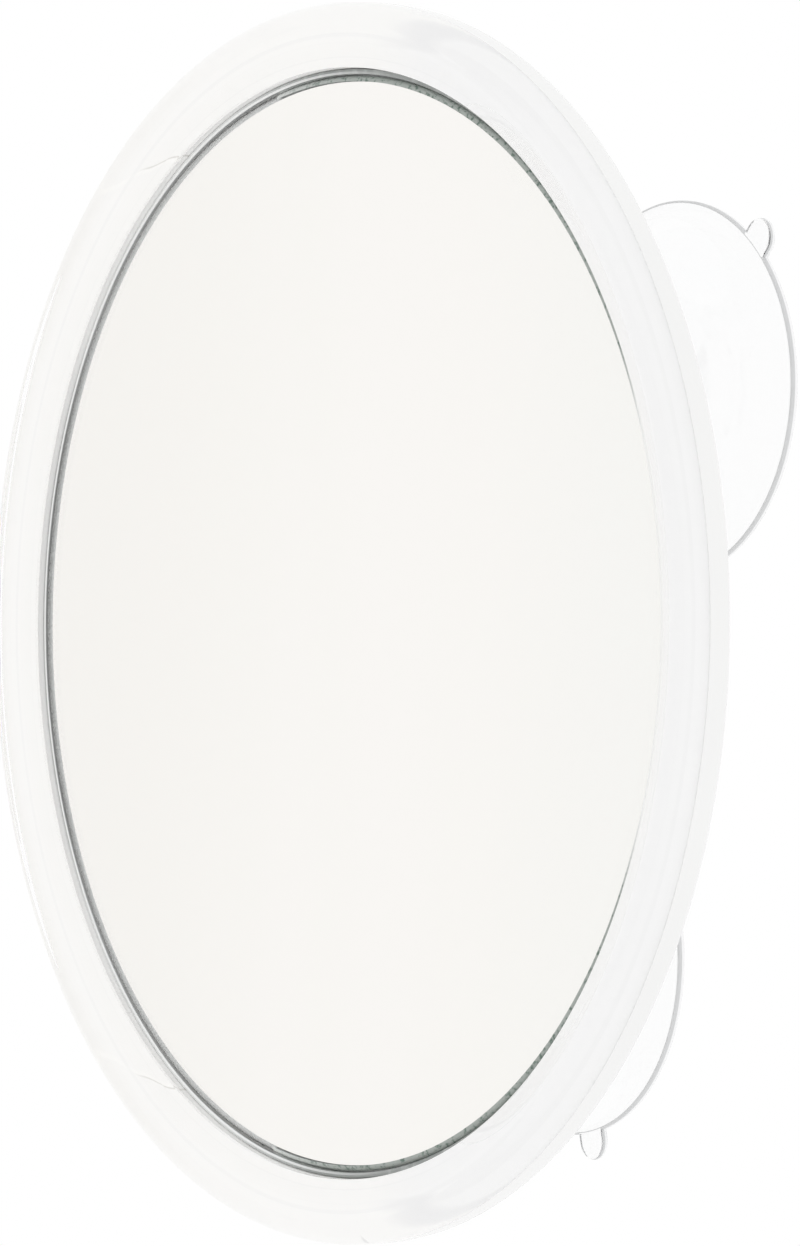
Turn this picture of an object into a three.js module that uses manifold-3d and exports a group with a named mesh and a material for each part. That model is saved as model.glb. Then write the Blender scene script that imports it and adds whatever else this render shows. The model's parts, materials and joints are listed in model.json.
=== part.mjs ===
// Round magnifying makeup mirror that hangs on a wall by three suction cups.
// A concave glass lies on a soft gasket inside a clear ring. A white dished cover closes the back, and
// a clear cup turns in each of its three sockets.
// Millimetres. +Z is up and +Y points into the wall, so the user looks along +Y.
// The origin is the middle of the wall plane, on which the rims of the cups lie.
import * as THREE from 'three';
import { mergeVertices } from 'three/addons/utils/BufferGeometryUtils.js';
import Module from 'manifold-3d';

const wasm = await Module();
wasm.setup();

// Driving dimensions of the whole
const sightRadius = 100;
const standOff = 45.9;
const fit = 0.3;

// Glass: a slumped disc with a half-round edge, silvered on its back, hollow towards the user
const glassCurve = 900;
const glassThickness = 2;

// Seal: a gasket with a tongue under the glass and an upstand beside its edge
const sealWeb = 0.8;
const sealTongue = 0.8;
const sealReach = 2.6;
const sealTop = 0.7;

// Front ring: a wall round the glass, a flank that rises gently from it to a crest near the outside,
// and a round shoulder. The flank's tangents at its two ends meet flankRun outside the wall.
const lipHeight = 1.5;
const lipWall = 2.4;
const flankRun = 6;
const crestRun = 2.1;
const shoulderRun = 3.9;
const crestHeight = 6;
const shoulderFoot = 1.2;
const ringSeam = 0.8;
const edgeBreak = 0.25;
const tongueInset = 2;
const tongueWidth = 1.8;
const tongueLength = 1.7;

// Back cover: a rim that carries the ring, a ledge for the gasket, and a bowl behind the glass
const coverWall = 2.4;
const coverDepth = 21;
const ledgeReach = 7;
const ledgeThickness = 1.6;
const bowlShoulder = 24.5;
const grooveFloor = 1.4;
const skirtEnd = 4.4;
const skirtRound = 2.2;
const weepRadius = 0.8;

// Posts and foam pads that press the glass forward
const postCount = 6;
const postInset = 14;
const postRadius = 6;
const postBore = 3.6;
const padRadius = 5.6;
const padThickness = 2;

// Ribs inside the cover
const hubRadius = 16;
const ribThickness = 2;
const ribHeight = 5;

// Suction cups and their sockets
const cupInset = 37;
const cupNames = ['upper', 'left', 'lower'];
const firstCupAngle = 43.1;
const tabAngles = [52, 171, 283];
const cupRadius = 34.4;
const cupEdge = 1.37;
const cupLand = 1.8;
const cupHollow = 8.5;
const hollowPower = 1.15;
const cupDome = 13.5;
const cupFillet = 1.5;
const pedestalRadius = 9;
const neckRadius = 5;
const headRadius = 7.6;
const headHeight = 4.6;
const headRound = 1.8;
const coreRadius = 1.8;
const coreFloor = 3;
const socketProud = 0.8;
const socketPad = 11;
const socketCollar = 2.2;
const collarRadius = 9.6;
const tabWidth = 7;
const tabReach = 5;
const tabThickness = 1.37;

// How finely round forms and curves are divided
const ringSides = 60;
const cupSides = 28;
const smallSides = 14;
const longSteps = 6;
const shortSteps = 4;
const cornerSteps = 2;

// Places that follow from the sizes above. Depths count from the glass plane, where the front of the
// glass meets its round edge, and grow towards the wall.
const glassEdge = glassThickness / 2;
const glassRadius = sightRadius + glassEdge;
const sealInner = glassRadius + fit;
const sealOuter = sealInner + sealWeb;
const sealEnd = glassThickness + fit + sealTongue;
const ledgeDepth = sealEnd + fit;
const lipRadius = sealOuter + fit;
const lipBack = lipRadius + lipWall;
const lipFoot = ledgeDepth - fit;
const flankRadius = lipRadius + flankRun;
const crestRadius = flankRadius + crestRun;
const ringRadius = crestRadius + shoulderRun;
const wellRadius = lipBack + fit;
const stepRadius = wellRadius + coverWall;
const ledgeInner = wellRadius - ledgeReach;
const bowlStart = ledgeDepth + ledgeThickness;
const tongueOuter = ringRadius - tongueInset;
const tongueInner = tongueOuter - tongueWidth;
const tongueEnd = tongueLength - ringSeam;
const coverLand = fit - ringSeam;
const grooveEnd = tongueEnd + fit;
const flangeUnder = grooveEnd + grooveFloor;
const bowlRadius = ledgeInner + coverWall;
const flatRadius = bowlRadius - bowlShoulder;
const coverFloor = coverDepth - coverWall;
const socketFace = coverDepth + socketProud;
const collarFace = coverFloor - socketCollar;
const wallMiddle = coverDepth - coverWall / 2;
const postCentreRadius = sightRadius - postInset;
const cupCentreRadius = sightRadius - cupInset;
const socketBore = neckRadius + fit;
const cupShoulder = standOff - socketFace - fit;
const neckTop = standOff - collarFace + fit;
const headTop = neckTop + headHeight;
const cupAngles = cupNames.map((_, i) => firstCupAngle + i * 360 / cupNames.length);
const postAngles = Array.from({ length: postCount }, (_, i) => firstCupAngle + i * 360 / postCount);

const polar = (radius, degrees) => {
  const angle = THREE.MathUtils.degToRad(degrees);
  return [radius * Math.cos(angle), radius * Math.sin(angle)];
};

// Depth of the hollow front face of the glass at a distance from its axis
const glassFront = (radius) =>
  Math.sqrt(glassCurve ** 2 - radius ** 2) - Math.sqrt(glassCurve ** 2 - sightRadius ** 2);
const glassBack = (radius) => glassFront(radius) + glassThickness;

// Points (radius, depth) along a curve, with both ends
function along(steps, curve) {
  return Array.from({ length: steps + 1 }, (_, i) => new THREE.Vector2(...curve(i / steps)));
}

// A quarter of an ellipse between two quadrant ends. It leaves the first end square to the line from
// the centre.
function quarter(centre, first, last, steps) {
  return along(steps, (share) => {
    const turn = share * Math.PI / 2;
    const a = Math.cos(turn);
    const b = Math.sin(turn);
    return [
      centre[0] + a * (first[0] - centre[0]) + b * (last[0] - centre[0]),
      centre[1] + a * (first[1] - centre[1]) + b * (last[1] - centre[1]),
    ];
  });
}

// A parabola between two ends, whose tangents there meet at a corner
function sweep(first, corner, last, steps) {
  return along(steps, (share) => {
    const [a, b, c] = [(1 - share) ** 2, 2 * share * (1 - share), share ** 2];
    return [
      a * first[0] + b * corner[0] + c * last[0],
      a * first[1] + b * corner[1] + c * last[1],
    ];
  });
}

// A list of [radius, depth] pairs as points
const outline = (...pairs) => pairs.map(([radius, depth]) => new THREE.Vector2(radius, depth));

// Turns a closed outline round the Y axis. One that doesn't touch the axis is closed on itself.
function revolve(points, sides) {
  const ring = points.map((point) => point.clone());
  if (THREE.ShapeUtils.area(ring) < 0) ring.reverse();
  const touchesAxis = points.some((point) => point.x === 0);
  if (!touchesAxis) return new THREE.LatheGeometry([...ring, ring[0]], sides);
  while (!(ring[0].x === 0 && ring.at(-1).x === 0)) ring.push(ring.shift());
  return new THREE.LatheGeometry(ring, sides);
}

// The closed solid inside a geometry: shared vertices merged, faces of no area left out
function solidOf(geometry) {
  const bare = geometry.clone();
  bare.deleteAttribute('normal');
  bare.deleteAttribute('uv');
  const merged = mergeVertices(bare);
  const corners = merged.getIndex().array;
  const kept = [];
  for (let i = 0; i < corners.length; i += 3) {
    const [a, b, c] = [corners[i], corners[i + 1], corners[i + 2]];
    if (a !== b && b !== c && c !== a) kept.push(a, b, c);
  }
  return new wasm.Manifold(new wasm.Mesh({
    numProp: 3,
    vertProperties: new Float32Array(merged.getAttribute('position').array),
    triVerts: new Uint32Array(kept),
  }));
}

function geometryOf(solid) {
  const mesh = solid.getMesh();
  const geometry = new THREE.BufferGeometry();
  geometry.setAttribute('position', new THREE.BufferAttribute(mesh.vertProperties, 3));
  geometry.setIndex(new THREE.BufferAttribute(mesh.triVerts, 1));
  geometry.computeVertexNormals();
  return geometry;
}

// A round bar along Y between two depths, standing at (x, z)
function bar(radius, from, to, sides, x = 0, z = 0) {
  const geometry = new THREE.CylinderGeometry(radius, radius, to - from, sides);
  geometry.translate(x, (from + to) / 2, z);
  return solidOf(geometry);
}

// A radial rib between two radii and two depths, turned to an angle about Y
function rib(inner, outer, from, to, degrees) {
  const geometry = new THREE.BoxGeometry(outer - inner, to - from, ribThickness);
  geometry.translate((inner + outer) / 2, (from + to) / 2, 0);
  geometry.rotateY(-THREE.MathUtils.degToRad(degrees));
  return solidOf(geometry);
}

// Finishes, one for each kind of moulding
const clearAcrylic = new THREE.MeshStandardMaterial({
  color: 0xf6f8f8, roughness: 0.04, metalness: 0, transparent: true, opacity: 0.4,
});
const clearVinyl = new THREE.MeshStandardMaterial({
  color: 0xf2f5f6, roughness: 0.12, metalness: 0, transparent: true, opacity: 0.35,
});
const whitePlastic = new THREE.MeshStandardMaterial({ color: 0xf1f1f0, roughness: 0.25, metalness: 0 });
const silverGlass = new THREE.MeshStandardMaterial({ color: 0xf3f2ee, roughness: 0.02, metalness: 1 });
const sealVinyl = new THREE.MeshStandardMaterial({ color: 0xb9bcb8, roughness: 0.45, metalness: 0 });
const whiteFoam = new THREE.MeshStandardMaterial({ color: 0xe4e4e0, roughness: 0.95, metalness: 0 });

const mirror = new THREE.Group();

function add(name, geometry, material, parent) {
  const mesh = new THREE.Mesh(geometry, material);
  mesh.name = name;
  parent.add(mesh);
  return mesh;
}

// The head is the glass in its housing. Its own depths start at the glass plane.
const head = new THREE.Group();
head.position.y = -standOff;
mirror.add(head);

// Front ring: a solid clear moulding with a wall round the glass and a tongue underneath
function frontRing() {
  const crest = [crestRadius, -crestHeight];
  return revolve([
    ...outline([lipRadius, lipFoot]),
    ...sweep([lipRadius, -lipHeight], [flankRadius, -crestHeight], crest, shortSteps),
    ...quarter([crestRadius, -shoulderFoot], crest, [ringRadius, -shoulderFoot], longSteps).slice(1),
    ...outline(
      [ringRadius, -ringSeam - edgeBreak],
      [ringRadius - edgeBreak, -ringSeam],
      [tongueOuter, -ringSeam],
      [tongueOuter, tongueEnd],
      [tongueInner, tongueEnd],
      [tongueInner, -ringSeam],
      [lipBack, -ringSeam],
      [lipBack, lipFoot],
    ),
  ], ringSides);
}

// Glass: both faces are spherical, and the edge between them is half round
function glass() {
  const middle = [sightRadius, glassEdge];
  const outermost = [glassRadius, glassEdge];
  return revolve([
    ...along(shortSteps, (share) => [share * sightRadius, glassFront(share * sightRadius)]),
    ...quarter(middle, [sightRadius, 0], outermost, cornerSteps).slice(1),
    ...quarter(middle, outermost, [sightRadius, glassThickness], cornerSteps).slice(1),
    ...along(shortSteps, (share) => [(1 - share) * sightRadius, glassBack((1 - share) * sightRadius)])
      .slice(1),
  ], ringSides);
}

// Seal: its tongue follows the back of the glass, and its upstand keeps the edge off the ring
function seal() {
  const heel = glassRadius - sealReach;
  return revolve(outline(
    [heel, glassBack(heel) + fit],
    [sealInner, glassThickness + fit],
    [sealInner, sealTop],
    [sealOuter, sealTop],
    [sealOuter, sealEnd],
    [heel, sealEnd],
  ), ringSides);
}

// Seat of the pads on the posts, behind the glass by the pad's thickness
const padSeat = glassBack(postCentreRadius) + padThickness + 2 * fit;

// A face of the bowl, parallel to its inner face and outside it, from the flat to the ledge
const bowlFace = (outside, steps) => quarter(
  [flatRadius, bowlStart],
  [flatRadius, coverFloor + outside],
  [ledgeInner + outside, bowlStart],
  steps,
);

// Back cover: rim with the groove for the ring, ledge, bowl, posts, ribs and the three sockets
function backCover() {
  const skirtCentre = [ringRadius - skirtRound, skirtEnd - skirtRound];
  const skirtCorner = quarter(
    skirtCentre, [skirtCentre[0], skirtEnd], [ringRadius, skirtCentre[1]], cornerSteps,
  );
  const shell = solidOf(revolve([
    ...outline([0, coverDepth]),
    ...bowlFace(coverWall, longSteps),
    ...outline(
      [stepRadius, bowlStart],
      [stepRadius, flangeUnder],
      [ringRadius - coverWall, flangeUnder],
      [ringRadius - coverWall, skirtEnd],
    ),
    ...skirtCorner,
    ...outline(
      [ringRadius, coverLand + edgeBreak],
      [ringRadius - edgeBreak, coverLand],
      [tongueOuter + fit, coverLand],
      [tongueOuter + fit, grooveEnd],
      [tongueInner - fit, grooveEnd],
      [tongueInner - fit, coverLand],
      [wellRadius, coverLand],
      [wellRadius, ledgeDepth],
      [ledgeInner, ledgeDepth],
    ),
    ...bowlFace(0, shortSteps).reverse(),
    ...outline([0, coverFloor]),
  ], ringSides));

  // The space out to the middle of the bowl's wall, which trims what stands on its curved floor
  const envelope = solidOf(revolve([
    ...outline([0, wallMiddle]),
    ...bowlFace(coverWall / 2, longSteps),
    ...outline([ledgeInner + coverWall / 2, coverLand], [0, coverLand]),
  ], ringSides));

  const ribTop = coverFloor - ribHeight;
  let inside = bar(hubRadius, ribTop, coverDepth, ringSides / 2);
  const bores = [bar(hubRadius - ribThickness, ribTop - fit, coverFloor, ringSides / 2)];
  postAngles.forEach((degrees, i) => {
    const [x, z] = polar(postCentreRadius, degrees);
    inside = inside.add(bar(postRadius, padSeat, coverDepth, smallSides, x, z));
    bores.push(bar(postBore, padSeat - fit, coverFloor - ribHeight, smallSides, x, z));
    const overCup = i % (postCount / cupNames.length) === 0;
    const start = hubRadius - ribThickness / 2;
    const end = postCentreRadius - (postRadius + postBore) / 2;
    const spans = overCup
      ? [[start, cupCentreRadius - collarRadius + fit], [cupCentreRadius + collarRadius - fit, end]]
      : [[start, end]];
    for (const [from, to] of spans) inside = inside.add(rib(from, to, ribTop, coverDepth, degrees));
  });

  let sockets = null;
  for (const degrees of cupAngles) {
    const [x, z] = polar(cupCentreRadius, degrees);
    const boss = bar(collarRadius, collarFace, coverDepth, cupSides, x, z)
      .add(bar(socketPad, wallMiddle, socketFace, cupSides, x, z));
    sockets = sockets ? sockets.add(boss) : boss;
    bores.push(bar(socketBore, collarFace - fit, socketFace + fit, cupSides, x, z));
  }

  const [weepX, weepZ] = polar((tongueOuter + tongueInner) / 2, -90);
  bores.push(bar(weepRadius, coverLand, flangeUnder + fit, smallSides / 2, weepX, weepZ));

  let cover = shell.add(inside.intersect(envelope)).add(sockets);
  for (const bore of bores) cover = cover.subtract(bore);
  return geometryOf(cover);
}

// Foam pad on a post, its face cut to the slope of the glass above it
function foamPad(degrees) {
  const [x, z] = polar(postCentreRadius, degrees);
  const block = bar(padRadius, glassBack(postCentreRadius + padRadius), padSeat - fit, smallSides, x, z);
  const glassShape = solidOf(revolve([
    ...outline([0, -crestHeight]),
    ...outline([glassRadius, -crestHeight]),
    ...along(shortSteps, (share) => {
      const radius = (1 - share) * glassRadius;
      return [radius, glassBack(radius) + fit];
    }),
  ], ringSides));
  return geometryOf(block.subtract(glassShape));
}

// Suction cup, with heights counted from the wall plane towards the glass: a thin dished skirt
// with a flat sealing land, a pedestal, a neck for the socket and a mushroom head inside the cover
function suctionCup() {
  const landRadius = cupRadius - cupLand;
  const filletRadius = pedestalRadius + cupFillet;
  const skirt = along(longSteps, (share) => {
    const radius = filletRadius + share * (cupRadius - filletRadius);
    return [radius, cupEdge + (cupDome - cupEdge) * (1 + Math.cos(Math.PI * share)) / 2];
  });
  const hollow = along(shortSteps, (share) => [
    share * landRadius,
    cupHollow * (1 - share ** 2) ** hollowPower,
  ]);
  const headCorner = quarter(
    [headRadius - headRound, headTop - headRound],
    [headRadius, headTop - headRound],
    [headRadius - headRound, headTop],
    cornerSteps,
  );
  const points = [
    ...hollow,
    ...outline([cupRadius, 0]),
    ...skirt.reverse(),
    ...outline(
      [pedestalRadius, cupDome + cupFillet],
      [pedestalRadius, cupShoulder],
      [neckRadius, cupShoulder],
      [neckRadius, neckTop],
      [headRadius, neckTop],
    ),
    ...headCorner,
    ...outline([coreRadius, headTop], [coreRadius, cupDome + coreFloor], [0, cupDome + coreFloor]),
  ];
  const body = solidOf(revolve(points, cupSides));

  const shape = new THREE.Shape();
  const half = tabWidth / 2;
  const root = cupRadius - cupLand;
  const middle = cupRadius + tabReach - half;
  shape.moveTo(root, -half);
  shape.lineTo(middle, -half);
  shape.absarc(middle, 0, half, -Math.PI / 2, Math.PI / 2, false);
  shape.lineTo(root, half);
  shape.closePath();
  const tab = new THREE.ExtrudeGeometry(shape, { depth: tabThickness, bevelEnabled: false, curveSegments: 8 });
  tab.rotateX(-Math.PI / 2);

  // Turned over, so that the heights run from the wall to the glass along -Y
  const cup = geometryOf(body.add(solidOf(tab)));
  cup.rotateX(Math.PI);
  return cup;
}

add('front_ring', frontRing(), clearAcrylic, head);
add('edge_seal', seal(), sealVinyl, head);
add('mirror_glass', glass(), silverGlass, head);
add('back_cover', backCover(), whitePlastic, head);
postAngles.forEach((degrees, i) => {
  add(`foam_pad_${i + 1}`, foamPad(degrees), whiteFoam, head);
});

const cupForm = suctionCup();
cupNames.forEach((name, i) => {
  const cup = add(`suction_cup_${name}`, cupForm, clearVinyl, mirror);
  const [x, z] = polar(cupCentreRadius, cupAngles[i]);
  cup.position.set(x, 0, z);
  cup.rotation.y = -THREE.MathUtils.degToRad(tabAngles[i]);
});

export default mirror;
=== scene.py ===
"""Looks of a round magnifying makeup mirror on suction cups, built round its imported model.

A clear ring lies on a white dished cover. Inside it a hollow glass, silvered on its back, lies on a
gasket, and three clear cups turn in sockets behind. Metres, +Z up, +Y into the wall.
"""
import json
import math

import bpy
import numpy as np
from mathutils import Matrix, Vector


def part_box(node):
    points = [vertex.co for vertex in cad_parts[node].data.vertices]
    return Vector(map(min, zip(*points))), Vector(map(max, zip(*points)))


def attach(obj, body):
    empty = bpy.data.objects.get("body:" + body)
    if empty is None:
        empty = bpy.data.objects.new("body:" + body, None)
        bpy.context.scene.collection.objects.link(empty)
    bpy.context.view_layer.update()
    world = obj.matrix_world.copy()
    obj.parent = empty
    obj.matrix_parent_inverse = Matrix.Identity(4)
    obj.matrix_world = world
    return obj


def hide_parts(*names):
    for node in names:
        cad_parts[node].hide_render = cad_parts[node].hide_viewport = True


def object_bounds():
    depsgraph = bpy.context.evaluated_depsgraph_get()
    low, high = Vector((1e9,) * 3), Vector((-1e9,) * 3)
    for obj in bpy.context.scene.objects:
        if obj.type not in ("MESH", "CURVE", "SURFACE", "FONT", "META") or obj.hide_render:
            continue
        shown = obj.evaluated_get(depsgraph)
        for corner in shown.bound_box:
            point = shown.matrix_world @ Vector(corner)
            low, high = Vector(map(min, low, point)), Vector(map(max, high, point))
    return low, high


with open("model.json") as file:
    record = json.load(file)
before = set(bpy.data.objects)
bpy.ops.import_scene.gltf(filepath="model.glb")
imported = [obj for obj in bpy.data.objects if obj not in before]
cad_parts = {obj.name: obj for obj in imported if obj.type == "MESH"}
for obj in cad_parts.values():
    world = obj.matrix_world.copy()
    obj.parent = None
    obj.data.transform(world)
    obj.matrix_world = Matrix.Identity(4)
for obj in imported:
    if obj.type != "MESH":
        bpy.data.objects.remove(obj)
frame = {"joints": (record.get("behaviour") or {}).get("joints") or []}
cad_low, cad_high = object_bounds()

MM = 0.001
TINY = 1e-7

# How finely the round forms are divided
RING_SIDES = 384
CUP_SIDES = 192
SMALL_SIDES = 64
CORNER_STEPS = 5
CURVE_STEPS = 28
EDGE_STEPS = 8
SHARP_ANGLE = math.radians(35)

# Ends of a rounded corner get one more point this far out, so that the flat beside it shades flat
HOLD = 0.04 * MM

# Small roundings that many corners share
FINE_ROUNDING = 0.2 * MM
SOFT_ROUNDING = 0.3 * MM
FULL_ROUNDING = 0.5 * MM

# Clearances and walls
FIT = 0.3 * MM
COVER_WALL = 2.4 * MM
GLASS_THICKNESS = 2 * MM

# Where things are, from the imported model
ring_low, ring_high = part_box("front_ring")
glass_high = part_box("mirror_glass")[1]
cover_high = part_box("back_cover")[1]
cup_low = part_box("suction_cup_upper")[0]
CREST_HEIGHT = 6 * MM
GLASS_PLANE = ring_low.y + CREST_HEIGHT
RING_RADIUS = ring_high.x
GLASS_RADIUS = glass_high.x
WALL_PLANE = cad_high.y
SOCKET_FACE = cover_high.y - GLASS_PLANE
HEAD_TOP = WALL_PLANE - cup_low.y

# The glass: its hollow radius, its round edge, and the silver on its back. The edge is ground on the
# user's right of the frost limit and only frosted on the left of it. A pair is where a change starts
# and where it ends, from the left to the user's right: of the edge's painted light and of the silver's
# painted reflection
GLASS_CURVE = 900 * MM
GLASS_EDGE = GLASS_THICKNESS / 2
SIGHT_RADIUS = GLASS_RADIUS - GLASS_EDGE
EDGE_BITE = 0.04 * MM
FROST_LIMIT = -18 * MM
SILVER_THICKNESS = 0.08 * MM
SILVER_BITE = 0.02 * MM
PAINT_MARGIN = 0.02 * MM
PAINT_FACING = 0.1
GROUND_START = (-40 * MM, 8 * MM)
GROUND_END = (88 * MM, 96 * MM)
SILVER_START = (-100 * MM, 0.0)
SILVER_END = (30 * MM, 100 * MM)

# The seal, a gasket with a tongue under the glass and an upstand beside its edge
SEAL_WEB = 0.95 * MM
SEAL_TONGUE = 0.8 * MM
SEAL_REACH = 2.6 * MM
SEAL_TOP = 0.1 * MM
SEAL_ROUNDING = 0.16 * MM
SEAL_INNER = GLASS_RADIUS + FIT
SEAL_OUTER = SEAL_INNER + SEAL_WEB
SEAL_END = GLASS_THICKNESS + FIT + SEAL_TONGUE
LEDGE_DEPTH = SEAL_END + FIT

# Tones of the seal: the pale line of painted light along its top, its pale foot below the glass plane,
# and the length of painted light at the left and the darker length of painted shade, each with the
# start and the end of its changes
SEAL_LINE_START = (SEAL_INNER, SEAL_INNER + 0.1 * MM)
SEAL_LINE_END = (SEAL_OUTER - 0.55 * MM, SEAL_OUTER - 0.4 * MM)
SEAL_LINE_FADE = (-30 * MM, 30 * MM)
SEAL_FOOT = (GLASS_PLANE + 0.45 * MM, GLASS_PLANE + 0.65 * MM)
SEAL_LIT_START = (-97 * MM, -82 * MM)
SEAL_LIT_END = (-45 * MM, 0.0)
SEAL_DARKER = (-40 * MM, 0.0)

# The front ring
LIP_RADIUS = GLASS_RADIUS + 1.4 * MM
LIP_HEIGHT = 1.75 * MM
LIP_WALL = 2.4 * MM
LIP_BACK = LIP_RADIUS + LIP_WALL
LIP_FOOT = LEDGE_DEPTH - FIT
LIP_CLEAR = -1 * MM
FLANK_RADIUS = LIP_RADIUS + 6.9 * MM
CREST_RADIUS = LIP_RADIUS + 8.1 * MM
SHOULDER_FOOT = 1.2 * MM
RING_SEAM = 0.8 * MM
SEAM_ROUNDING = 0.25 * MM
CLEAR_SEAM_ROUNDING = 0.7 * SEAM_ROUNDING
EDGE_ROUNDING = 0.1 * MM
TONGUE_OUTER = RING_RADIUS - 2 * MM
TONGUE_INNER = TONGUE_OUTER - 1.8 * MM
TONGUE_END = 1.7 * MM - RING_SEAM
BASE_BITE = 0.02 * MM
BASE_THICKNESS = 0.06 * MM

# Marks and painted light of the ring's base, in its upper half and mirrored in its lower one. The
# streak, a painted reflection, is an arc about a point below the axis. The caustic line, a painted dark
# line with a painted highlight on one side, starts at a turn from upright, leans by so many radians per
# metre of radius, and waves as a sine of the radius; its reach makes a turn a length. A spread is the
# square of half a line's width, and a pair is where a change starts and where it ends
STREAK_RADIUS = 168 * MM
STREAK_SIDE = 3.8 * MM
STREAK_DROP = 60.4 * MM
STREAK_SPREAD = 2.2 * MM**2
STREAK_FADE = (16 * MM, 36 * MM)
STREAK_INSIDE = (-1.5 * MM, 0.5 * MM)
TONE_FADE = (14 * MM, 36 * MM)
CAUSTIC_START = 103 * MM
CAUSTIC_TURN = 0.505
CAUSTIC_LEAN = 20
CAUSTIC_REACH = 106 * MM
CAUSTIC_SPREAD = 0.2 * MM**2
CAUSTIC_FADE = (106.5 * MM, 109.5 * MM)
GLOW_RISE = (-0.2 * MM, 0.4 * MM)
GLOW_FALL = (1 * MM, 2.4 * MM)
WAVE_RATE = 1400
WAVE_HEIGHT = 0.4 * MM
GATE_ANGLE = math.radians(-82)
GATE_RADIUS = 0.8 * MM
GATE_CORE = 0.3 * GATE_RADIUS

# The back cover
COVER_LAND = 0.12 * MM - RING_SEAM
GROOVE_END = TONGUE_END + FIT
FLANGE_UNDER = GROOVE_END + 1.4 * MM
WELL_RADIUS = LIP_BACK + FIT
STEP_RADIUS = WELL_RADIUS + COVER_WALL
STEP_ROUNDING = 0.6 * MM
LEDGE_INNER = WELL_RADIUS - 7 * MM
BOWL_START = LEDGE_DEPTH + 1.6 * MM
FLAT_RADIUS = LEDGE_INNER + COVER_WALL - 24.5 * MM
SOCKET_PROUD = 0.8 * MM
COVER_DEPTH = SOCKET_FACE - SOCKET_PROUD
COVER_FLOOR = COVER_DEPTH - COVER_WALL
SKIRT_END = 4.4 * MM
SKIRT_ROUNDING = 2.1 * MM
WEEP_RADIUS = 0.8 * MM
SOCKET_PAD = 11 * MM
SOCKET_COLLAR = 2.2 * MM
COLLAR_RADIUS = 9.6 * MM
COLLAR_FACE = COVER_FLOOR - SOCKET_COLLAR

# Inside the cover: posts for the foam pads, ribs and a hub
POST_COUNT = 6
POST_CIRCLE = SIGHT_RADIUS - 14 * MM
POST_RADIUS = 6 * MM
POST_BORE = 3.6 * MM
PAD_RADIUS = 5.6 * MM
PAD_THICKNESS = 2 * MM
PAD_BULGE = 0.12 * MM
HUB_RADIUS = 16 * MM
RIB_THICKNESS = 2 * MM
RIB_HEIGHT = 5 * MM

# The suction cups, with heights counted from the wall. They turn about the joints of the model
CUP_NAMES = ("upper", "left", "lower")
cup_centres = [
    (joint["pos_m"][0], joint["pos_m"][2]) for name in CUP_NAMES for joint in frame["joints"]
    if joint["name"] == f"{name}_cup_turn"
]
TAB_ANGLES = {"upper": 47, "left": 171, "lower": 283}
CUP_RADIUS = 34.4 * MM
CUP_EDGE = 1.37 * MM
CUP_LAND = 1.8 * MM
LAND_ROUNDING = 0.15 * MM
HEEL_ROUNDING = 0.25 * MM
BRIM_ROUNDING = 0.4 * MM
CUP_HOLLOW = 8.5 * MM
HOLLOW_POWER = 1.15
CUP_DOME = 13.5 * MM
CUP_FILLET = 1.5 * MM
PEDESTAL_RADIUS = 9 * MM
NECK_RADIUS = 5 * MM
HEAD_RADIUS = 7.6 * MM
HEAD_HEIGHT = 4.6 * MM
HEAD_ROUNDING = 1.8 * MM
CORE_RADIUS = 1.8 * MM
CORE_FLOOR = 3 * MM
CUP_SHOULDER = WALL_PLANE - GLASS_PLANE - SOCKET_FACE - FIT
NECK_TOP = HEAD_TOP - HEAD_HEIGHT
TAB_WIDTH = 7 * MM
TAB_REACH = 5 * MM
TAB_THICKNESS = 1.37 * MM
TAB_ROUNDING = 0.3 * MM

# The cups' cut edge: the outside of the rim, but for a band at the wall, and the tab's steep faces,
# which carry a painted grey outline. Its tone pales between two heights
RIM_BAND = 0.5 * MM
RIM_LIFT = 0.2 * MM
TAB_START = 0.1 * MM
TAB_STEEP = 0.3
PALE_START = 0.75 * MM
PALE_END = 0.55 * MM

# The camera, fitted to the outlines in the photograph: 800 x 1246 pixels
PHOTO_HEIGHT = 1246
FOCAL_PIXELS = 5132.17
SENSOR = 36.0
CLIP_START, CLIP_END = 0.05, 100
CAMERA_DISTANCE = 0.95
CAMERA_AZIMUTH = math.radians(55.788)
CAMERA_ROLL = math.radians(0.236)
AIM_SIDE = math.radians(0.801)
AIM_UP = math.radians(0.006)

# The studio
LIGHT = 1.0
FLOOR_DEPTH = 0.5
FLOOR_SIZE = 40.0


# Shapes


def quarter(centre, first, last, count=CURVE_STEPS):
    """A quarter of an ellipse between two quadrant ends: at turn t from 0 to 90 degrees the point is
    centre + cos(t) (first - centre) + sin(t) (last - centre)."""
    centre, first, last = (np.asarray(p, float) for p in (centre, first, last))
    turn = np.linspace(0, math.pi / 2, count + 1)[:, None]
    return centre + np.cos(turn) * (first - centre) + np.sin(turn) * (last - centre)


def sweep(first, corner, last):
    """A parabola (1-s)^2 A + 2s(1-s) C + s^2 B between two ends A and B, whose tangents there meet at
    the corner C."""
    s = np.linspace(0, 1, CURVE_STEPS + 1)[:, None]
    first, corner, last = (np.asarray(p, float) for p in (first, corner, last))
    return (1 - s) ** 2 * first + 2 * s * (1 - s) * corner + s**2 * last


def outline(*parts):
    """Joins rows (radius, depth) or (radius, depth, rounding) to one array of corners, rounding 0 if
    it isn't given."""
    rows = [np.atleast_2d(np.asarray(part, float)) for part in parts]
    return np.concatenate([np.pad(r, ((0, 0), (0, 3 - r.shape[1]))) for r in rows])


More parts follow.
